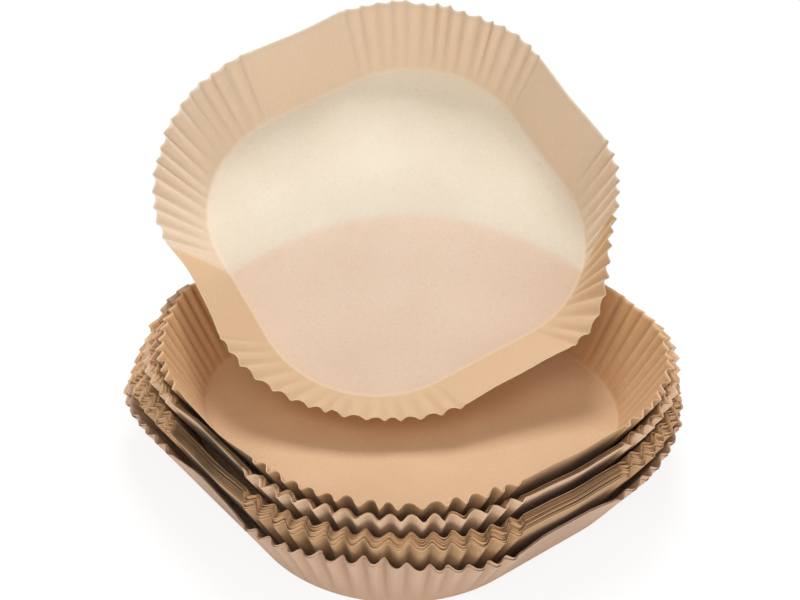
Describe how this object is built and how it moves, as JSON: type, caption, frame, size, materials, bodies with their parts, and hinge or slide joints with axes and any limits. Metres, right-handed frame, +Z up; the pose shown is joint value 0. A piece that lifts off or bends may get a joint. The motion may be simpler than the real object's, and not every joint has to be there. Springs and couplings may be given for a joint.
{
  "type": "stack of air fryer paper liners",
  "caption": "Nested round-square paper liners with pleated corners, and one more standing tilted in the bowl of the top one.",
  "frame": {"origin": "middle of the lowest liner's base, on the surface that the stack stands on", "axes": "+Z up out of the bowls, +Y towards the side that the tilted liner leans to, +X to the right seen from the front"},
  "size_m": [0.2175, 0.2413, 0.1361],
  "materials": {
    "nested_paper": "matte",
    "outer_paper": "matte",
    "leaning_paper": "matte"
  },
  "bodies": {
    "root": {"liner_01": "outer_paper", "liner_02": "outer_paper", "liner_03": "nested_paper", "liner_04": "nested_paper", "liner_05": "nested_paper", "liner_06": "nested_paper", "liner_07": "nested_paper", "liner_08": "nested_paper", "liner_09": "nested_paper", "liner_10": "nested_paper", "liner_11": "nested_paper", "liner_12": "nested_paper", "liner_13": "nested_paper", "liner_14": "nested_paper", "liner_15": "nested_paper", "liner_16": "nested_paper", "liner_17": "nested_paper", "liner_18": "nested_paper", "liner_19": "nested_paper", "liner_20": "nested_paper", "leaning_liner": "leaning_paper"}
  },
  "joints": []
}
